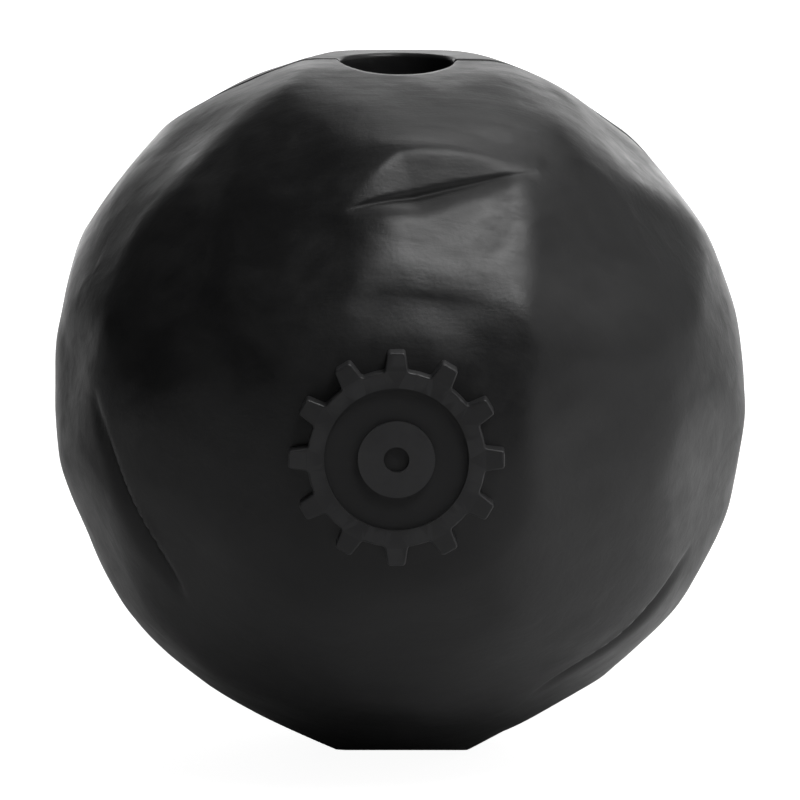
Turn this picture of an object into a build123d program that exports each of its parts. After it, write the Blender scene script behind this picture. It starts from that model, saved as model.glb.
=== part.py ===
"""Hollow rubber friction ball: two moulded half shells cemented on a vertical seam, with a raised badge.

Millimetres, +Z up. The origin is the centre of the flat foot that the ball stands on. The mouth is in
the top, the badge faces -Y, and the halves meet in the plane Y = 0.
"""
import os
from math import acos, atan2, cos, degrees, hypot, pi, radians, sin, sqrt, tan

from build123d import *

# Ball
BALL_R = 37.5  # outer radius of the moulded ball
WALL = 7.0  # rubber wall, outer radius to cavity
FOOT_R = 9.6  # radius of the flat foot before its edges are hewn
FOOT_PROUD = 1.0  # how far the foot stands below the ball's own sphere
FOOT_FRONT = 5.0  # the foot is hewn off straight this far in front of its centre
FOOT_FRONT_LEAN = 15.0  # degrees from level of the flat that does it

# Mouth
MOUTH_R = 6.1  # bore through the wall
CROWN_CUT = 1.1  # depth of the flat crown round the bore, below the ball's top
LIP_ROUND = 0.7  # rounding of the bore's two ends

# Seam between the halves
SEAM_T = 0.25  # thickness of the cement
TONGUE_W = 2.0  # locating tongue, measured along the radius
TONGUE_H = 1.5  # height of the tongue above the joint plane
TONGUE_GAP = 0.15  # cement each side of the tongue
GROOVE_W = 0.6  # open groove that runs round the outside of the seam
GROOVE_D = 0.3

# Badge
BADGE_R = 10.9  # to the tips of the teeth
BADGE_PROUD = 1.0  # flat front above the ball's nearest point
TEETH = 12
TOOTH_H = 1.9
TOOTH_SHARE = 0.5  # share of the pitch that a tooth takes at its root
TOOTH_TAPER = 0.75  # tip width as a share of the root width
RING_OUTER_R = 7.3  # ring-shaped recess in the front
RING_INNER_R = 3.9
RING_D = 0.55
HUB_HOLE_R = 1.3
HUB_HOLE_D = 0.5
BADGE_CORNER = 0.35  # rounding of the teeth's corners
BADGE_EDGE = 0.2  # rounding of the front's outer edge
BADGE_FILM = 0.15  # cement between badge and ball
FILM_INSET = 0.4  # the cement stops short of the badge's edge

# Hewn flats: longitude from the front (positive to the right), latitude, depth below the sphere
FLATS = [
    (-90, -1, 0.7),
    (-86, -21, 1.0),
    (-69, -64, -0.2),
    (73, -59.5, 0.0),
    (-68, 8, 0.35),
    (-66, -24, 0.35),
    (-62, 50, 0.35),
    (-40, 27, 0.45),
    (-36, -40, 0.35),
    (4, -44, 0.3),
    (30, -44, 0.35),
    (10, 35, 0.6),
    (40, 29, 0.5),
    (60, 30, 0.3),
    (62, -12, 0.3),
    (74, 47, 0.35),
    (97, 37, 0.4),
    (94, 10, 0.2),
    (180, 69, 0.4),
    (122, -24, 0.6),
    (118, 62, 0.4),
    (140, 14, 0.7),
    (166, 40, 0.6),
    (170, -12, 0.65),
    (150, -46, 0.5),
    (-162, -44, 0.55),
    (-142, 18, 0.7),
    (-130, -16, 0.55),
    (-118, 44, 0.6),
]

# Chisel cuts: longitude and latitude of the middle, heading of the crease in degrees from east
# (anticlockwise, seen from outside), depth at the middle. The floor lies on the crease's right.
CUTS = [
    (10, 45, 10, 1.4),
    (-47, -10, 292, 1.4),
    (50, -35, 58, 1.4),
    (150, 44, 20, 1.2),
    (-140, -24, 70, 1.2),
]
CUT_FLOOR_RISE = 2.0  # degrees by which a floor climbs away from its crease
CUT_REACH = 30.0  # cutters are this long and wide, more than any cut in the ball

FAR = 4 * BALL_R  # size of the blocks that trim a whole side off

centre_z = BALL_R + FOOT_PROUD
cavity_r = BALL_R - WALL
crown_z = centre_z + BALL_R - CROWN_CUT
crown_r = sqrt(BALL_R**2 - (BALL_R - CROWN_CUT) ** 2)
foot_slope = atan2(FOOT_R, centre_z) + acos(BALL_R / hypot(FOOT_R, centre_z))
tongue_r = BALL_R - WALL / 2
badge_root_r = BADGE_R - TOOTH_H
centre = Vector(0, 0, centre_z)


def outward(longitude, latitude):
    """Unit vector from the ball's centre at a longitude from the front and a latitude."""
    lon, lat = radians(longitude), radians(latitude)
    return Vector(sin(lon) * cos(lat), -cos(lon) * cos(lat), sin(lat))


def tangent_plane(longitude, latitude, height):
    """Plane square to a radius at that height, with its x axis to the east."""
    normal = outward(longitude, latitude)
    return Plane(centre + normal * height, x_dir=outward(longitude + 90, 0), z_dir=normal)


def foot_cone(inset):
    """Cone that touches the sphere and runs down to the flat foot, which the inset leaves at z = 0."""
    r = BALL_R - inset
    touch_x, touch_z = r * sin(foot_slope), centre_z - r * cos(foot_slope)
    foot_x = touch_x - touch_z / tan(foot_slope)
    profile = Polygon((0, 0), (foot_x, 0), (touch_x, touch_z), (0, touch_z), align=None)
    return revolve(Plane.XZ * profile, axis=Axis.Z)


def rubber_body(inset=0.0):
    """The ball's outside as a solid, with every outer face but the foot moved in by the inset."""
    body = Pos(*centre) * Sphere(BALL_R - inset) + foot_cone(inset)
    for longitude, latitude, depth in FLATS:
        plane = tangent_plane(longitude, latitude, BALL_R - depth - inset)
        body -= plane * Box(FAR, FAR, FAR, align=(Align.CENTER, Align.CENTER, Align.MIN))
    lean = radians(FOOT_FRONT_LEAN)
    front_h = centre_z * cos(lean) + FOOT_FRONT * sin(lean)
    front = tangent_plane(0, FOOT_FRONT_LEAN - 90, front_h - inset)
    body -= front * Box(FAR, FAR, FAR, align=(Align.CENTER, Align.CENTER, Align.MIN))
    crown = Pos(0, 0, crown_z - inset)
    return body - crown * Box(FAR, FAR, FAR, align=(Align.CENTER, Align.CENTER, Align.MIN))


def chisel_cut(longitude, latitude, heading, depth):
    """Half a flat: a block whose side makes the crease's steep wall."""
    block = Box(CUT_REACH * 2, CUT_REACH, CUT_REACH, align=(Align.CENTER, Align.MAX, Align.MIN))
    lie = Rot(0, 0, heading) * Rot(-CUT_FLOOR_RISE, 0, 0)
    return tangent_plane(longitude, latitude, BALL_R - depth) * lie * block


def hollow_ball(body):
    """Body with the cavity, and the mouth rounded at both ends."""
    bore = Pos(0, 0, centre_z) * Cylinder(
        MOUTH_R, FAR, align=(Align.CENTER, Align.CENTER, Align.MIN)
    )
    cavity = Pos(*centre) * Rot(90, 0, 0) * Sphere(cavity_r)  # its poles lie square to the seam
    shell = body - cavity - bore
    ends = [
        edge
        for edge in shell.edges().filter_by(GeomType.CIRCLE)
        if abs(edge.radius - MOUTH_R) < 1e-6 and abs(edge.arc_center.X) < 1e-6
    ]
    return fillet(ends, min(LIP_ROUND, (crown_r - MOUTH_R) / 2, WALL / 4))


def ring_about_y(inner_r, outer_r, y_low, y_high):
    """Ring, or disc if it has no inner radius, on the axis along Y through the ball's centre."""
    face = Circle(outer_r)
    if inner_r:
        face -= Circle(inner_r)
    across = Plane((0, y_high, centre_z), x_dir=(1, 0, 0), z_dir=(0, -1, 0))
    return extrude(across * face, amount=y_high - y_low)


def slab(y_low, y_high):
    """Block over everything between two values of Y."""
    return Pos(0, (y_low + y_high) / 2, centre_z) * Box(FAR, y_high - y_low, FAR)


def split_shell(shell, inner_shell):
    """The two halves with tongue and groove, and the cement that fills the joint between them."""
    half_t = SEAM_T / 2
    tongue = ring_about_y(
        tongue_r - TONGUE_W / 2, tongue_r + TONGUE_W / 2, -half_t - TONGUE_H, half_t
    )
    socket = ring_about_y(
        tongue_r - TONGUE_W / 2 - TONGUE_GAP,
        tongue_r + TONGUE_W / 2 + TONGUE_GAP,
        -half_t - TONGUE_H - SEAM_T,
        half_t,
    )
    seam_groove = (shell - inner_shell) & slab(-GROOVE_W / 2, GROOVE_W / 2)
    front = (shell & slab(-FAR, -half_t)) - socket - seam_groove
    rear = (shell & slab(half_t, FAR)) + (shell & tongue) - seam_groove
    joint = (shell & inner_shell & slab(-half_t, half_t)) + (shell & socket)
    return front, rear, joint - tongue


def badge_outline(inset=0.0):
    """Wheel with trapezoid teeth, drawn about the badge's centre."""
    pitch = 2 * pi / TEETH * badge_root_r
    root_w = TOOTH_SHARE * pitch - 2 * inset
    tip_w = TOOTH_SHARE * TOOTH_TAPER * pitch - 2 * inset
    root_r, tip_r = badge_root_r - inset, BADGE_R - inset
    flare = (root_w - tip_w) / (tip_r - root_r)
    heel_r = root_r / 2
    heel_w = root_w + flare * (root_r - heel_r)
    tooth = Polygon(
        (heel_r, -heel_w / 2), (tip_r, -tip_w / 2), (tip_r, tip_w / 2), (heel_r, heel_w / 2), align=None
    )
    wheel = Circle(root_r)
    for number in range(TEETH):
        wheel += Rot(0, 0, 90 + 360 / TEETH * number) * tooth
    if not inset:
        wheel = fillet(wheel.vertices(), min(BADGE_CORNER, TOOTH_H / 4, tip_w / 4))
    return Plane.XZ * wheel


def standing(outline, y_front):
    """A drawn outline as a prism from that front plane back to the ball's centre."""
    return Pos(0, 0, centre_z) * extrude(outline, amount=-y_front)


def badge():
    """Raised wheel with a ring recess and a hub hole, hollowed at the back to sit on the ball."""
    front_y = -(BALL_R + BADGE_PROUD)
    body = standing(badge_outline(), front_y)
    rim = body.faces().sort_by(Axis.Y)[0].edges()
    body = fillet(rim, BADGE_EDGE)
    body -= ring_about_y(RING_INNER_R, RING_OUTER_R, front_y, front_y + RING_D)
    body -= ring_about_y(0, HUB_HOLE_R, front_y, front_y + HUB_HOLE_D)
    return body - Pos(*centre) * Sphere(BALL_R + BADGE_FILM)


def badge_cement():
    """Film of cement between the badge's hollow back and the ball."""
    prism = standing(badge_outline(FILM_INSET), -(BALL_R + BADGE_PROUD))
    return (prism & Pos(*centre) * Sphere(BALL_R + BADGE_FILM)) - Pos(*centre) * Sphere(BALL_R)


def main():
    os.makedirs("parts", exist_ok=True)
    body, inner_body = rubber_body(), rubber_body(GROOVE_D)
    for cut in CUTS:
        body -= chisel_cut(*cut)
    front, rear, cement = split_shell(hollow_ball(body), inner_body)
    nodes = {
        "front_half_shell": front,
        "rear_half_shell": rear,
        "seam_cement": cement,
        "emblem_badge": badge(),
        "badge_cement": badge_cement(),
    }
    for name, shape in nodes.items():
        export_step(shape, f"parts/{name}.step")
    print(f"foot slope {degrees(foot_slope):.1f} degrees, crown at {crown_z:.2f}")


main()
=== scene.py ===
"""Hollow rubber friction ball: two hewn half shells, the cement in their seam, and the badge in front.

Metres, +Z up, standing on the foot with the badge towards -Y. Shapes are worked out in millimetres.
"""
from collections import namedtuple
from math import cos, hypot, pi, radians, sin

import bmesh
import bpy
import numpy as np
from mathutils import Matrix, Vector


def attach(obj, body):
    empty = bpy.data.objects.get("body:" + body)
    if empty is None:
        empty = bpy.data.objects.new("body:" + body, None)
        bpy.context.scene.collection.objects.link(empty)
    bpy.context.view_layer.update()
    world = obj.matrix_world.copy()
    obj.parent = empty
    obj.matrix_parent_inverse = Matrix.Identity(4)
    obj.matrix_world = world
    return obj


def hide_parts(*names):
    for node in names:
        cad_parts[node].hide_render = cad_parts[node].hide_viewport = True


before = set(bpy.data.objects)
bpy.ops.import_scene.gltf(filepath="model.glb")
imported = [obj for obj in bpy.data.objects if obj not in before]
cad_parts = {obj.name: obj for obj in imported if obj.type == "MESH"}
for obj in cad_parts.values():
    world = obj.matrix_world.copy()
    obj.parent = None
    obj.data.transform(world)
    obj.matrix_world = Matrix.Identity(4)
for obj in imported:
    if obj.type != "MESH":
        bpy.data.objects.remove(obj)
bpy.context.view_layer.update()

MM = 0.001

# The ball
BALL_R = 37.5
CENTRE_Z = 38.5
CAVITY_R = 30.5
CROWN_H = 36.4  # the flat crown round the mouth, above the ball's centre
STOCK = 0.75  # how far the uncut ridges may stand proud of the ball's radius
SINK = 0.02  # the skin lies this much below the hewn shape
FAR = 1e3  # stands for a flat that a direction never meets

# The mouth
MOUTH_R = 6.1
LIP = 0.5  # rounding of the outer end
INNER_LIP = 0.7  # rounding of the inner end
CROWN_SOFT = 0.25  # softness of the crown's edge

# The seam
SEAM_HALF = 0.125
GROOVE_HALF = 0.3
GROOVE_D = 0.3
GROOVE_TOP = 1.0  # the groove stops this far above the sole

# The foot: a cone down to a sole that is hewn off straight in front
CONE_LEAN = 33.1  # degrees from level
FRONT_LEAN = 15
FRONT_REACH = 5.0  # from the sole's centre to the straight edge

# The badge: degrees from its middle where the hewing starts and where it is at full depth
BADGE_CALM = (15, 24)

# Lumps of the skin: height, wavelength, seed, number of waves
LUMPS = [(0.06, 15.0, 11, 18), (0.015, 5.5, 12, 18), (0.004, 2.2, 13, 30)]

# Rows of mesh points round the mouth and the cavity
LIP_ROWS = 6
BORE_ROWS = 8
INNER_LIP_ROWS = 5
CAVITY_ROWS = 55


def outward(longitude, latitude):
    """Unit vector from the centre; longitude 0 is the front, positive to the right."""
    lon, lat = radians(longitude), radians(latitude)
    return np.array((sin(lon) * cos(lat), -cos(lon) * cos(lat), sin(lat)))


def smooth(low, high, value):
    """0 below low, 1 above high and an easy curve between."""
    t = np.clip((value - low) / (high - low), 0.0, 1.0)
    return t * t * (3.0 - 2.0 * t)


def steps(count, end=1.0):
    """Evenly spaced values from just above 0 up to the end."""
    return np.linspace(0, end, count + 1)[1:]


def soft_min(first, second, soft):
    """The lower of two heights, blended where they come within the softness of each other."""
    share = np.clip(0.5 + 0.5 * (first - second) / soft, 0, 1)
    return first * (1 - share) + second * share - soft * share * (1 - share)


def flat_radius(ways, towards, height, steepest):
    """Distance along each direction to a flat that is square to another at some height."""
    facing = ways @ towards
    return np.where(facing > steepest, height / np.maximum(facing, steepest), FAR)


def ripple(points, wavelength, seed, count):
    """Smooth random height of about unit size, made of plane waves of mixed direction."""
    rng = np.random.default_rng(seed)
    total = np.zeros(len(points))
    for _ in range(count):
        way = rng.normal(size=3)
        way /= np.linalg.norm(way)
        size = 2 * pi / (wavelength * rng.uniform(0.7, 1.5))
        total += np.cos(points @ way * size + rng.uniform(0, 2 * pi))
    return total / np.sqrt(count / 2)


# Flats hewn into the ball: longitude, latitude, depth below the ball's radius, softness of the edges
FLATS = [
    # round the left side
    (-98, 38, -0.1, 0.4),
    (-92, 12, 0.5, 0.5),
    (-90, -1, 1.0, 0.5),
    (-88, -10, 0.92, 0.5),
    (-86, -21, 1.05, 0.4),
    (-84, -33, 0.55, 0.5),
    (-80, -45, 0.05, 0.6),
    (-75, -56, 0.2, 0.6),
    (-70, 8, 0.35, 1.2),
    (-66, -22, 0.35, 1.1),
    (-64, -44, 0.15, 1.0),
    # over the top left
    (-107, 58, -0.1, 0.5),
    (-118, 69.5, 0.1, 0.6),
    (-76, 66, 0.1, 0.8),
    (-62, 50, 0.3, 1.1),
    (-66, 29, 0.1, 1.0),
    # over the top right
    (60, 68, 0.1, 0.9),
    (100, 55, 0.25, 0.7),
    (97, 37, 0.32, 0.7),
    (74, 47, 0.25, 1.1),
    # round the right side
    (94, 20, 0.1, 0.6),
    (90, 4, 0.05, 0.7),
    (72, 16, 0.2, 1.1),
    (88, -12, 0.2, 0.6),
    (86, -28, 0.15, 0.6),
    (84, -44, 0.1, 0.7),
    (62, -12, 0.2, 1.1),
    # across the front
    (-40, 27, 0.35, 1.3),
    (-36, 52, 0.15, 1.2),
    (-26, -2, 0.08, 1.3),
    (-38, -24, 0.15, 1.3),
    (-24, -42, 0.25, 1.2),
    (4, -36, 0.12, 1.4),
    (28, -44, 0.3, 1.2),
    (36, -20, 0.12, 1.3),
    (32, 4, 0.1, 1.3),
    (60, 30, 0.3, 0.6),
    (10, 35, 0.72, 0.25),
    (38, 29, 0.55, 0.85),
    (-18, 34, 0.5, 1.6),
    (6, 24.5, 0.56, 0.4),
    (8, 12, 0.0, 1.0),
    (-8, 66, 0.15, 1.0),
    (26, 66, 0.2, 1.0),
    (6, 80.5, 1.45, 0.7),
    (4, 73, 1.15, 0.9),
    (52, -50, 0.2, 1.0),
    (-48, -58, 0.15, 0.9),
    (20, -66, 0.1, 0.9),
    (-10, -62, 0.1, 0.9),
    # round the back
    (122, -24, 0.6, 0.9),
    (118, 62, 0.4, 0.9),
    (140, 14, 0.7, 0.9),
    (118, 14, 0.2, 1.0),
    (166, 40, 0.6, 0.8),
    (170, -12, 0.65, 0.9),
    (150, -46, 0.5, 0.9),
    (116, -52, 0.2, 1.0),
    (-162, -44, 0.55, 0.8),
    (-142, 18, 0.7, 0.9),
    (-168, 12, 0.25, 1.0),
    (-130, -16, 0.55, 0.9),
    (-118, 44, 0.6, 0.8),
    (-116, -44, 0.2, 0.9),
    (-150, 50, 0.3, 0.9),
    (-176, 66, 0.2, 0.9),
    (146, -16, 0.15, 1.0),
]

# Chisel cuts: place and heading (from east) of the crease's middle, half its length and its bow, the
# step's depth and the width of its steep wall, the width and hollowness of the floor, which lies on
# the right of the heading, and the lip's height and width. A lip below nothing is a flat that falls
# to the crease. All of them are greatest at the peak, from -1 to 1 along the crease.
Cut = namedtuple("Cut", "lon lat heading half_length bow depth wall floor_w hollow lip lip_w peak")
CUTS = [
    Cut(10.3, 44.9, 9.7, 10.6, -0.15, 0.72, 0.5, 3.9, 1.8, -0.8, 4.6, -0.3),
    Cut(-47.4, -10.3, 292.5, 12.3, -1.19, 2.3, 1.5, 3.8, 3.2, 0.4, 1.3, 0.3),
    Cut(49.9, -35.2, 57.7, 12.0, -1.14, 2.3, 1.5, 3.4, 3.0, 0.4, 1.3, -0.1),
    Cut(6.3, 25.2, 353.4, 8.4, -0.72, 0.13, 2.0, 4.5, 1.3, 0.0, 1.0, 0.1),
    Cut(150.0, 44.0, 20.0, 10.0, 0.5, 1.3, 0.5, 5.5, 2.0, -0.6, 4.0, 0.2),
    Cut(-140.0, -24.0, 70.0, 10.5, -0.5, 1.6, 0.8, 5.0, 2.6, 0.35, 1.5, -0.2),
]
PEAK_EASE = 0.2  # how softly a cut's depth turns over at its peak

# Flats that shape the foot: longitude, latitude, height above the ball's centre
FOOT_FLATS = [
    (0, -90, CENTRE_Z),
    (0, FRONT_LEAN - 90, CENTRE_Z * cos(radians(FRONT_LEAN)) + FRONT_REACH * sin(radians(FRONT_LEAN))),
    (-68.7, -64.1, 37.72),
    (72.6, -59.5, 37.52),
    (180, -70, 38.0),
]


def beside(ways, cut):
    """Distances along and across a cut's crease for directions from the centre, in millimetres."""
    out = outward(cut.lon, cut.lat)
    east = outward(cut.lon + 90, 0)
    north = np.cross(out, east)
    turn = radians(cut.heading)
    along = east * cos(turn) + north * sin(turn)
    across = north * cos(turn) - east * sin(turn)
    near = ways @ out
    u = BALL_R * np.arctan2(ways @ along, near)
    v = BALL_R * np.arctan2(ways @ across, near)
    return u, v - cut.bow * (u / cut.half_length) ** 2, near, across


def crowd_to_creases(ways):
    """Draw mesh points in towards each crease, so that its steep wall has points enough."""
    for cut in CUTS:
        u, v, near, across = beside(ways, cut)
        fade = (1 - smooth(0.8, 1.25, np.abs(u) / cut.half_length)) * (near > 0.3)
        shift = -0.72 * v * np.exp(-((v / 1.5) ** 2)) * fade
        ways = ways + np.outer(shift / BALL_R, across)
        ways /= np.linalg.norm(ways, axis=1)[:, None]
    return ways


def cut_height(ways):
    """Height that the chisel cuts add (their lips) or take away (their floors)."""
    total = np.zeros(len(ways))
    for cut in CUTS:
        u, v, near, _ = beside(ways, cut)
        place = u / cut.half_length
        rise, fall = (1 + place) / (1 + cut.peak), (1 - place) / (1 - cut.peak)
        tent = np.clip(np.where(place < cut.peak, rise, fall), 0, 1) * (near > 0.3)
        reach = (hypot(1, PEAK_EASE) - np.hypot(1 - tent, PEAK_EASE)) / (hypot(1, PEAK_EASE) - PEAK_EASE)
        floor = min(cut.lip, 0) * tent - cut.depth * reach
        floor *= np.clip(1 + v / (cut.floor_w * (0.45 + 0.55 * reach)), 0, 1) ** cut.hollow
        ridge = cut.lip * tent * np.clip(1 - v / (cut.lip_w * (0.1 + 0.9 * tent)), 0, 1)
        side = smooth(-cut.wall / 2, cut.wall / 2, v)
        total += side * ridge + (1 - side) * np.where(v < cut.wall, floor, 0)
    return total


def skin_radius(ways):
    """Distance of the hewn skin from the ball's centre, for unit directions."""
    r = np.full(len(ways), BALL_R + STOCK)
    for lon, lat, depth, soft in FLATS:
        r = soft_min(flat_radius(ways, outward(lon, lat), BALL_R - depth, 0.3), r, soft)
    from_badge = np.degrees(np.arccos(np.clip(ways @ outward(0, 0), -1, 1)))
    calm = smooth(*BADGE_CALM, from_badge)
    r = BALL_R + (r - BALL_R) * (0.25 + 0.75 * calm) - SINK
    points = ways * BALL_R
    lumps = sum(height * ripple(points, *waves) for height, *waves in LUMPS)
    return trim_ends(ways, r + lumps * (0.2 + 0.8 * calm) + cut_height(ways))


def trim_ends(ways, r):
    """Give the skin its flat crown and its foot."""
    r = soft_min(flat_radius(ways, outward(0, 90), CROWN_H, 0.5), r, CROWN_SOFT)
    lean = radians(CONE_LEAN)
    down, side = -ways[:, 2], np.hypot(ways[:, 0], ways[:, 1])
    cone = BALL_R / np.maximum(down * cos(lean) + side * sin(lean), 0.2)
    r = np.maximum(r, r + (cone - r) * smooth(0.79, 0.87, down))
    for lon, lat, height in FOOT_FLATS:
        r = np.minimum(r, flat_radius(ways, outward(lon, lat), height, 0.5))
    return r


def mouth_radius(turn):
    """Radius of the mouth, which comes to a soft point at the front."""
    front = np.cos(turn + pi / 2)
    return MOUTH_R + 0.22 * front**3 - 0.12 * np.sin(2 * turn) ** 2


def column_turns(count):
    """Angles across half a turn, close together at both ends where the seam is."""
    edge = np.radians([0, 0.12, 0.26, 0.36, 0.46, 0.58, 0.75, 1.0, 1.35, 1.8])
    middle = np.linspace(radians(2.4), pi - radians(2.4), count)
    return np.concatenate((edge, middle, (pi - edge)[::-1]))


def skin_grid(side, turns, hole, rows):
    """Rows of points up the skin of one half, from under the foot to the mouth's lip."""
    top = pi / 2 - np.arctan((hole + LIP) / CROWN_H)
    lat = -pi / 2 + np.linspace(0, 1, rows)[:, None] * (top[None, :] + pi / 2)
    x = np.cos(lat) * np.cos(turns)[None, :]
    y = np.cos(lat) * np.sin(turns)[None, :]
    ways = crowd_to_creases(np.stack((x, y, np.sin(lat)), axis=2).reshape(-1, 3))
    ways[:, 1] = side * np.hypot(ways[:, 1], SEAM_HALF / BALL_R)
    ways /= np.linalg.norm(ways, axis=1)[:, None]
    r = skin_radius(ways)
    from_seam = np.abs(ways[:, 1]) * r
    groove = 1 - smooth(GROOVE_HALF - 0.05, GROOVE_HALF + 0.14, from_seam)
    r -= GROOVE_D * groove * (r * ways[:, 2] > GROOVE_TOP - CENTRE_Z)
    return (ways * r[:, None]).reshape(rows, len(turns), 3)


def mouth_rows(turns, hole, crest):
    """Rows of points over the lip, down the bore and over its rounded inner end."""
    rows = []
    for bend in steps(LIP_ROWS, pi / 2):
        rows.append(round_row(hole + LIP * (1 - sin(bend)), turns, crest - LIP * (1 - cos(bend))))
    start = crest - LIP
    low = np.sqrt(CAVITY_R**2 - (hole + INNER_LIP) ** 2)
    end = low + INNER_LIP * 0.9
    for share in steps(BORE_ROWS):
        rows.append(round_row(hole, turns, start + share * (end - start)))
    for bend in steps(INNER_LIP_ROWS, pi / 2):
        ring = hole + INNER_LIP * (1 - cos(bend))
        rows.append(round_row(ring, turns, low + INNER_LIP * 0.9 * (1 - sin(bend))))
    return np.array(rows)


def cavity_rows(turns, hole):
    """Rows of points round the cavity, from the bore to the cavity's lowest point."""
    start = np.arcsin((hole + INNER_LIP) / CAVITY_R)
    rows = []
    for share in steps(CAVITY_ROWS):
        fall = start + share * (pi - start)
        rows.append(round_row(CAVITY_R * np.sin(fall), turns, CAVITY_R * np.cos(fall)))
    return np.array(rows)


def shell_points(side, columns, rows):
    """Rows of points for one half: up the skin, over the lip, down the bore and round the cavity."""
    turns = column_turns(columns)
    if side < 0:
        turns = turns + pi
    hole = mouth_radius(turns)
    skin = skin_grid(side, turns, hole, rows)
    grid = np.concatenate((skin, mouth_rows(turns, hole, skin[-1, :, 2]), cavity_rows(turns, hole)))
    grid[:, :, 1] = side * np.maximum(np.abs(grid[:, :, 1]), SEAM_HALF)
    grid[:, (0, -1), 1] = side * SEAM_HALF
    grid[:, :, 2] += CENTRE_Z
    return grid * MM


def round_row(ring, turns, height):
    """One row of points on rings about the ball's upright axis."""
    x, y = ring * np.cos(turns), ring * np.sin(turns)
    y = np.sign(y + 1e-12 * np.sin(turns)) * np.hypot(y, SEAM_HALF)
    return np.stack((x, y, np.broadcast_to(height, x.shape)), axis=1)


def stitch(bm, outer, inner):
    """Close the strip between two chains of points with triangles, always across the shorter way."""
    i = j = 0
    while i < len(outer) - 1 or j < len(inner) - 1:
        ahead = i < len(outer) - 1 and (
            j == len(inner) - 1
            or (outer[i + 1].co - inner[j].co).length < (outer[i].co - inner[j + 1].co).length
        )
        corners = [outer[i], inner[j], outer[i + 1] if ahead else inner[j + 1]]
        if len(set(corners)) == 3:
            bm.faces.new(corners)
        i, j = (i + 1, j) if ahead else (i, j + 1)


def make_object(name, bm):
    """Turn finished geometry into an object with even outward faces and smooth shading."""
    bmesh.ops.recalc_face_normals(bm, faces=bm.faces[:])
    for face in bm.faces:
        face.smooth = True
    mesh = bpy.data.meshes.new(name)
    bm.to_mesh(mesh)
    bm.free()
    piece = bpy.data.objects.new(name, mesh)
    bpy.context.scene.collection.objects.link(piece)
    return piece


def half_shell(name, side, columns=236, rows=262):
    """One half of the ball's wall as a closed mesh."""
    grid = shell_points(side, columns, rows)
    bm = bmesh.new()
    layers = []
    for number, row in enumerate(grid):
        if number in (0, len(grid) - 1):
            pole = bm.verts.new((0, side * SEAM_HALF * MM, row[0][2]))
            layers.append([pole] * len(row))
        else:
            layers.append([bm.verts.new(point) for point in row])
    for below, above in zip(layers, layers[1:]):
        for k in range(len(below) - 1):
            corners = list(dict.fromkeys((below[k], below[k + 1], above[k + 1], above[k])))
            bm.faces.new(corners)
    brim = rows + LIP_ROWS
    for end in (0, -1):
        chain = [layer[end] for layer in layers]
        stitch(bm, chain[:brim], chain[brim - 1:][::-1])
    return make_object(name, bm)


def seam_outline(side):
    """Outer and inner edge of the cement on one side of the ball, from below up to the mouth."""
    lat = np.linspace(-pi / 2, pi / 2 - np.arctan((MOUTH_R + LIP) / CROWN_H), 200)
    ways = np.stack((side * np.cos(lat), np.zeros_like(lat), np.sin(lat)), axis=1)
    ways[:, 1] = -SEAM_HALF / BALL_R
    ways /= np.linalg.norm(ways, axis=1)[:, None]
    r = skin_radius(ways)
    r -= GROOVE_D * (r * ways[:, 2] > GROOVE_TOP - CENTRE_Z)
    skin = np.stack((ways[:, 0] * r, ways[:, 2] * r), axis=1)
    hole = mouth_radius(0.0 if side > 0 else pi)
    bends = steps(LIP_ROWS, pi / 2)
    lip_x = side * (hole + LIP * (1 - np.sin(bends)))
    lip = np.stack((lip_x, skin[-1, 1] - LIP * (1 - np.cos(bends))), axis=1)
    fall = np.linspace(np.arcsin(hole / CAVITY_R), pi, 80)[::-1]
    inner = np.stack((side * CAVITY_R * np.sin(fall), CAVITY_R * np.cos(fall)), axis=1)
    return np.concatenate((skin, lip)), inner


def seam_ring(name):
    """The film of cement between the halves, flush with the bottom of the seam groove."""
    outlines = [seam_outline(side) for side in (1, -1)]
    bm = bmesh.new()
    sheets = []
    for y in (-SEAM_HALF, SEAM_HALF):
        arms = []
        foot = bm.verts.new((0, y * MM, 0))
        floor = bm.verts.new((0, y * MM, (CENTRE_Z - CAVITY_R) * MM))
        for outline in outlines:
            chains = []
            for start, edge in zip((foot, floor), outline):
                row = [bm.verts.new((x * MM, y * MM, (z + CENTRE_Z) * MM)) for x, z in edge[1:]]
                chains.append([start] + row)
            stitch(bm, *chains)
            arms.append(chains[0] + chains[1][::-1])
        sheets.append(arms)
    for front, back in zip(*sheets):
        for k in range(len(front) - 1):
            bm.faces.new((front[k], front[k + 1], back[k + 1], back[k]))
    return make_object(name, bm)


def socket(group, kind, name, low=None, high=None, default=None, way="INPUT"):
    """Add a named socket to a node group."""
    made = group.interface.new_socket(name=name, in_out=way, socket_type=kind)
    if default is not None:
        made.default_value = default
    if low is not None:
        made.min_value, made.max_value = low, high
    return made


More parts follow.
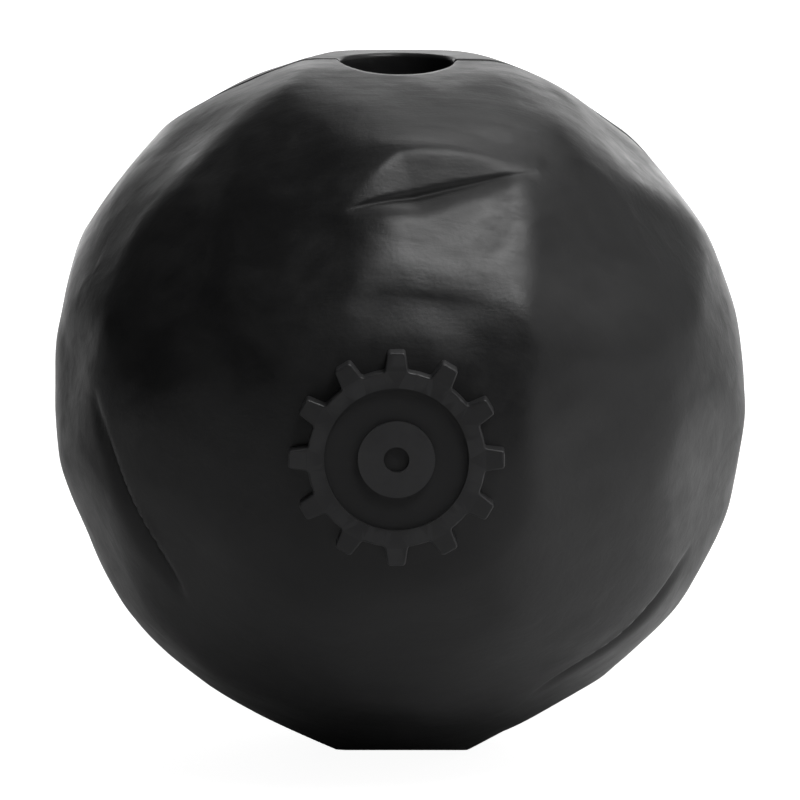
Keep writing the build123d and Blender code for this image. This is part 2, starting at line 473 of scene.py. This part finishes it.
class Wiring:
    """Adds nodes to a tree and joins them."""

    def __init__(self, tree):
        self.tree = tree
        self.column = 0

    def add(self, kind, settings=None, **inputs):
        """A new node with its settings made and its named inputs filled."""
        node = self.tree.nodes.new(kind)
        self.column += 1
        node.location = (self.column * 190, -(self.column % 3) * 160)
        for key, value in (settings or {}).items():
            setattr(node, key, value)
        for key, value in inputs.items():
            self.put(node, key.replace("_", " "), value)
        return node

    def put(self, node, name, value):
        """Link a socket to a node's input, or set the input to a value."""
        target = node.inputs[int(name)] if name.isdigit() else node.inputs[name]
        if isinstance(value, bpy.types.NodeSocket):
            self.tree.links.new(value, target)
        else:
            target.default_value = value

    def math(self, operation, first, second=0.5, third=None, clamp=False):
        """The output of a sum."""
        node = self.add("ShaderNodeMath", {"operation": operation, "use_clamp": clamp})
        self.put(node, "0", first)
        self.put(node, "1", second)
        if third is not None:
            self.put(node, "2", third)
        return node.outputs[0]

    def blend(self, share, first, second):
        """A colour between two others."""
        node = self.add("ShaderNodeMix", {"data_type": "RGBA", "blend_type": "MIX"})
        self.put(node, "0", share)
        self.put(node, "6", first)
        self.put(node, "7", second)
        return node.outputs[2]

    def span(self, value, low, high, to_low, to_high):
        """One range carried over to another on an easy curve."""
        node = self.add("ShaderNodeMapRange", {"interpolation_type": "SMOOTHSTEP"})
        for number, item in enumerate((value, low, high, to_low, to_high)):
            self.put(node, str(number), item)
        return node.outputs[0]


def new_group(name):
    """An empty node group with its input and output nodes."""
    group = bpy.data.node_groups.new(name, "ShaderNodeTree")
    return group, Wiring(group)


def rubber_grain_group():
    """Fine moulded grain with soft pull marks: a height and a mask."""
    group, w = new_group("rubber grain")
    socket(group, "NodeSocketVector", "Place")
    socket(group, "NodeSocketFloat", "Grain size", 0, 5000, 1900.0)
    socket(group, "NodeSocketFloat", "Pull marks", 0, 1, 0.4)
    socket(group, "NodeSocketFloat", "Height", way="OUTPUT")
    socket(group, "NodeSocketFloat", "Marks", way="OUTPUT")
    enter, leave = w.add("NodeGroupInput"), w.add("NodeGroupOutput")
    place = enter.outputs["Place"]
    fine_scale = enter.outputs["Grain size"]
    fine = w.add("ShaderNodeTexNoise", Vector=place, Scale=fine_scale, Detail=3.0, Roughness=0.55)
    coarse_scale = w.math("MULTIPLY", fine_scale, 0.22)
    coarse = w.add("ShaderNodeTexNoise", Vector=place, Scale=coarse_scale, Detail=4.0, Roughness=0.6)
    drawn = w.add("ShaderNodeMapping", Vector=place)
    drawn.inputs["Rotation"].default_value = (0.3, 0.5, 0.7)
    drawn.inputs["Scale"].default_value = (90, 700, 420)
    marks = w.add(
        "ShaderNodeTexNoise", Vector=drawn.outputs[0], Scale=1.0,
        Detail=5.0, Roughness=0.62, Distortion=0.6
    )
    marked = w.math("MULTIPLY", marks.outputs["Fac"], enter.outputs["Pull marks"])
    height = w.math("MULTIPLY", fine.outputs["Fac"], 0.35)
    height = w.math("ADD", height, w.math("MULTIPLY", coarse.outputs["Fac"], 0.65))
    w.put(leave, "Height", w.math("ADD", height, marked))
    w.put(leave, "Marks", w.span(marks.outputs["Fac"], 0.42, 0.68, 0.0, 1.0))
    return group


def bloom_group():
    """Cloudy bloom of old moulded rubber, with a little dust on what faces up: masks."""
    group, w = new_group("rubber bloom and dust")
    socket(group, "NodeSocketVector", "Place")
    socket(group, "NodeSocketFloat", "Cloud size", 0, 1000, 95.0)
    socket(group, "NodeSocketFloat", "Dust", 0, 1, 0.3)
    socket(group, "NodeSocketFloat", "Clouds", way="OUTPUT")
    socket(group, "NodeSocketFloat", "Dust mask", way="OUTPUT")
    enter, leave = w.add("NodeGroupInput"), w.add("NodeGroupOutput")
    place = enter.outputs["Place"]
    size = enter.outputs["Cloud size"]
    clouds = w.add(
        "ShaderNodeTexNoise", Vector=place, Scale=size, Detail=6.0, Roughness=0.6, Distortion=0.5
    )
    specks = w.add("ShaderNodeTexVoronoi", {"feature": "F1"}, Vector=place, Scale=900.0)
    normal = w.add("ShaderNodeNewGeometry").outputs["Normal"]
    upright = w.add("ShaderNodeSeparateXYZ", Vector=normal).outputs["Z"]
    faces_up = w.span(upright, 0.1, 1.0, 0.0, 1.0)
    dots = w.span(specks.outputs["Distance"], 0.05, 0.2, 1.0, 0.0)
    drift = w.span(clouds.outputs["Fac"], 0.45, 0.75, 0.15, 1.0)
    dust = w.math("MULTIPLY", faces_up, drift)
    dust = w.math("MULTIPLY", dust, w.math("MULTIPLY_ADD", dots, 0.5, 0.5))
    w.put(leave, "Clouds", w.span(clouds.outputs["Fac"], 0.3, 0.72, 0.0, 1.0))
    w.put(leave, "Dust mask", w.math("MULTIPLY", dust, enter.outputs["Dust"], clamp=True))
    return group


def edge_rub_group():
    """Ridges paler from wear and a painted highlight, and hollows darkened by painted shade, from how
    sharply the surface bends: two masks.
    """
    group, w = new_group("edge rub")
    socket(group, "NodeSocketVector", "Place")
    socket(group, "NodeSocketFloat", "Reach", 0, 1, 0.02)
    socket(group, "NodeSocketFloat", "Rubbed", way="OUTPUT")
    socket(group, "NodeSocketFloat", "Hollow", way="OUTPUT")
    enter, leave = w.add("NodeGroupInput"), w.add("NodeGroupOutput")
    bend = w.add("ShaderNodeNewGeometry").outputs["Pointiness"]
    place = enter.outputs["Place"]
    patchy = w.add("ShaderNodeTexNoise", Vector=place, Scale=140.0, Detail=6.0, Roughness=0.7)
    high = w.math("ADD", enter.outputs["Reach"], 0.505)
    low = w.math("SUBTRACT", 0.495, enter.outputs["Reach"])
    ridge = w.span(bend, 0.51, high, 0.0, 1.0)
    patches = w.span(patchy.outputs["Fac"], 0.3, 0.7, 0.35, 1.0)
    # ridges: edge wear and a painted highlight
    w.put(leave, "Rubbed", w.math("MULTIPLY", ridge, patches))
    # hollows: a mask used as painted shade, and for duller rubber
    w.put(leave, "Hollow", w.span(bend, low, 0.495, 1.0, 0.0))
    return group


GRAIN = rubber_grain_group()
BLOOM = bloom_group()
RUB_HIGHLIGHT_AND_SHADE = edge_rub_group()


DUST_COLOUR = (0.09, 0.088, 0.085, 1)
RUBBED_HIGHLIGHT_GAIN = 4  # an edge's wear and painted highlight against the rubber's pale colour
HOLLOW_SHADE_GAIN = 0.4  # painted shade in a hollow against the rubber's dark colour
HOLLOW_ROUGHNESS = 0.25
BUMP_STRENGTH = 0.35
RUBBER_IOR = 1.5


def shade(colour, gain=1.0):
    """A colour for a socket, made lighter or darker."""
    return (*[channel * gain for channel in colour], 1)


def rubber(name, dark, pale, gloss, grain_size, grain_height, pull, dust, wear_and_highlight, hollow_shade_and_dullness):
    """Satin rubber: cloudy black, paler on its ridges from wear and a painted highlight, darkened by
    painted shade and duller in its hollows.
    """
    material = bpy.data.materials.new(name)
    material.use_nodes = True
    tree = material.node_tree
    tree.nodes.clear()
    w = Wiring(tree)
    place = w.add("ShaderNodeTexCoord").outputs["Object"]
    grain = w.add(
        "ShaderNodeGroup", {"node_tree": GRAIN}, Place=place, Grain_size=grain_size, Pull_marks=pull
    )
    bloom = w.add("ShaderNodeGroup", {"node_tree": BLOOM}, Place=place, Dust=dust)
    rub_highlight_and_shade = w.add("ShaderNodeGroup", {"node_tree": RUB_HIGHLIGHT_AND_SHADE}, Place=place)
    clouds, hollow = bloom.outputs["Clouds"], rub_highlight_and_shade.outputs["Hollow"]
    colour = w.blend(clouds, shade(dark), shade(pale))
    rubbed_and_highlight = w.math("MULTIPLY", rub_highlight_and_shade.outputs["Rubbed"], wear_and_highlight)
    # paler ridges: edge wear and a painted highlight
    colour = w.blend(rubbed_and_highlight, colour, shade(pale, RUBBED_HIGHLIGHT_GAIN))
    # darker hollows: painted shade
    colour = w.blend(w.math("MULTIPLY", hollow, hollow_shade_and_dullness), colour, shade(dark, HOLLOW_SHADE_GAIN))
    colour = w.blend(bloom.outputs["Dust mask"], colour, DUST_COLOUR)
    rough = w.span(clouds, 0.0, 1.0, gloss - 0.05, gloss + 0.06)
    rough = w.math("ADD", rough, w.math("MULTIPLY", grain.outputs["Marks"], 0.05))
    hollow_rough = w.math("MULTIPLY", hollow, hollow_shade_and_dullness * HOLLOW_ROUGHNESS)
    rough = w.math("ADD", rough, hollow_rough, clamp=True)
    bump = w.add(
        "ShaderNodeBump", Strength=BUMP_STRENGTH,
        Distance=grain_height * MM, Height=grain.outputs["Height"]
    )
    body = w.add("ShaderNodeBsdfPrincipled", Base_Color=colour, Roughness=rough, Normal=bump.outputs[0])
    body.inputs["IOR"].default_value = RUBBER_IOR
    out = w.add("ShaderNodeOutputMaterial")
    tree.links.new(body.outputs[0], out.inputs["Surface"])
    return material


# The last two numbers set the ridges' wear and painted highlight, then the painted shade and dullness in
# hollows.
ball_rubber = rubber(
    "satin black ball rubber", (0.007, 0.007, 0.0075), (0.014, 0.014, 0.0145), gloss=0.4,
    grain_size=1900.0, grain_height=0.11, pull=0.8, dust=0.3, wear_and_highlight=0.04, hollow_shade_and_dullness=0.7
)
badge_rubber = rubber(
    "black badge rubber", (0.016, 0.016, 0.017), (0.024, 0.024, 0.025), gloss=0.46,
    grain_size=2600.0, grain_height=0.03, pull=0.15, dust=0.15, wear_and_highlight=0.2, hollow_shade_and_dullness=0.6
)
cement_rubber = rubber(
    "cured rubber cement", (0.004, 0.004, 0.004), (0.007, 0.007, 0.007), gloss=0.35,
    grain_size=1200.0, grain_height=0.06, pull=0.1, dust=0.05, wear_and_highlight=0.2, hollow_shade_and_dullness=0.6
)


def dress(piece, material):
    """Give a piece its only material."""
    piece.data.materials.clear()
    piece.data.materials.append(material)


front = half_shell("front_shell_skin", -1)
rear = half_shell("rear_shell_skin", 1)
seam = seam_ring("seam_film")
for piece, node, material, slot_name in (
    (front, "front_half_shell", ball_rubber, "ball_rubber"),
    (rear, "rear_half_shell", ball_rubber, "ball_rubber"),
    (seam, "seam_cement", cement_rubber, "seam_cement"),
):
    dress(piece, material)
    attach(piece, "root")
    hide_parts(node)

for node, material in (("emblem_badge", badge_rubber), ("badge_cement", cement_rubber)):
    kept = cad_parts[node]
    kept.data.materials.clear()
    kept.data.materials.append(material)


FLOOR_HALF = 4.0  # half the floor's side
FLOOR_DROP = 0.00005  # keeps the floor clear of the sole


def studio_floor():
    """A wide pale floor that glows softly behind the ball and to its right, but not round the foot,
    where the missing glow is a painted contact shadow.
    """
    bm = bmesh.new()
    bmesh.ops.create_grid(bm, x_segments=8, y_segments=8, size=FLOOR_HALF)
    floor = make_object("studio_floor", bm)
    floor.location.z = -FLOOR_DROP
    material = bpy.data.materials.new("pale floor")
    material.use_nodes = True
    tree = material.node_tree
    tree.nodes.clear()
    w = Wiring(tree)
    diffuse = w.add("ShaderNodeBsdfDiffuse", Color=(0.56, 0.56, 0.56, 1))
    seen = w.add("ShaderNodeLightPath").outputs["Is Camera Ray"]
    place = w.add("ShaderNodeTexCoord").outputs["Object"]
    parts = w.add("ShaderNodeSeparateXYZ", Vector=place)
    slant = w.math("MULTIPLY_ADD", parts.outputs["X"], 1.1, parts.outputs["Y"])
    behind = w.span(slant, -0.09, 0.12, 0.0, 0.6)
    reach = w.add("ShaderNodeVectorMath", {"operation": "LENGTH"})
    w.put(reach, "0", place)
    # No glow round the foot: a painted contact shadow in what the ball sees of the floor.
    clear = w.span(reach.outputs["Value"], 0.012, 0.045, 0.0, 1.0)
    strength = w.math("MAXIMUM", w.math("MULTIPLY", seen, 0.95), w.math("MULTIPLY", behind, clear))
    glow = w.add("ShaderNodeEmission", Color=(1, 1, 1, 1), Strength=strength)
    both = w.add("ShaderNodeAddShader")
    w.put(both, "0", diffuse.outputs[0])
    w.put(both, "1", glow.outputs[0])
    out = w.add("ShaderNodeOutputMaterial")
    tree.links.new(both.outputs[0], out.inputs["Surface"])
    floor.data.materials.append(material)


def softbox(name, azimuth, elevation, distance, width, height, power):
    """A rectangular light that faces the ball; azimuth 0 is in front, positive to the right."""
    data = bpy.data.lights.new(name, "AREA")
    data.shape = "RECTANGLE"
    data.size, data.size_y = width, height
    data.energy = power
    lamp = bpy.data.objects.new(name, data)
    centre = Vector((0, 0, CENTRE_Z * MM))
    way = Vector(outward(azimuth, elevation))
    lamp.location = centre + way * distance
    lamp.rotation_euler = (-way).to_track_quat("-Z", "Y").to_euler()
    bpy.context.scene.collection.objects.link(lamp)


# Lights: name, azimuth, elevation, distance, width, height, power
LIGHTS = [
    ("overhead softbox", 43, 60, 0.9, 0.46, 0.34, 3.8),
    ("top softbox", 155, 62, 1.0, 0.5, 0.3, 1.5),
    ("rear softbox", 178, 21, 1.0, 0.5, 0.2, 0.7),
    ("right side panel", 85, 24, 1.0, 1.6, 0.85, 2.0),
    ("right back strip", 158, 6, 1.0, 0.35, 0.6, 1.6),
    ("left back strip", -158, 4, 1.0, 0.25, 0.6, 1.4),
]


def studio():
    """Soft overhead light, a wide panel on the right, weaker lights behind and a pale surround."""
    for light in LIGHTS:
        softbox(*light)
    world = bpy.data.worlds.new("studio surround")
    bpy.context.scene.world = world
    world.use_nodes = True
    tree = world.node_tree
    tree.nodes.clear()
    w = Wiring(tree)
    way = w.add("ShaderNodeTexCoord").outputs["Generated"]
    height = w.add("ShaderNodeSeparateXYZ", Vector=way).outputs["Z"]
    depth = w.add("ShaderNodeSeparateXYZ", Vector=way).outputs["Y"]
    low_glow = w.span(height, -0.1, 0.6, 0.015, 0.045)
    level = w.math("ADD", low_glow, w.span(depth, 0.7, 0.99, 0.0, 0.7))
    seen = w.add("ShaderNodeLightPath").outputs["Is Camera Ray"]
    strength = w.math("MAXIMUM", level, seen)
    back = w.add("ShaderNodeBackground", Color=(1, 1, 1, 1), Strength=strength)
    out = w.add("ShaderNodeOutputWorld")
    tree.links.new(back.outputs[0], out.inputs["Surface"])
    bpy.context.scene.view_settings.view_transform = "Standard"
    bpy.context.scene.view_settings.look = "None"


EYE_ELEVATION = 10  # degrees above the ball's middle
EYE_DISTANCE = 0.525
LENS = 218.0
SHIFT = (0.004375, -0.008125)  # shares of the view's width


def camera():
    """Long lens, slightly above the ball and square to its front."""
    data = bpy.data.cameras.new("camera")
    data.sensor_width = 36
    data.lens = LENS
    data.shift_x, data.shift_y = SHIFT
    data.clip_start, data.clip_end = 0.05, 20
    eye = bpy.data.objects.new("camera", data)
    way = Vector(outward(0, EYE_ELEVATION))
    eye.location = Vector((0, 0, CENTRE_Z * MM)) + way * EYE_DISTANCE
    eye.rotation_euler = (-way).to_track_quat("-Z", "Y").to_euler()
    bpy.context.scene.collection.objects.link(eye)
    bpy.context.scene.camera = eye


studio_floor()
studio()
camera()
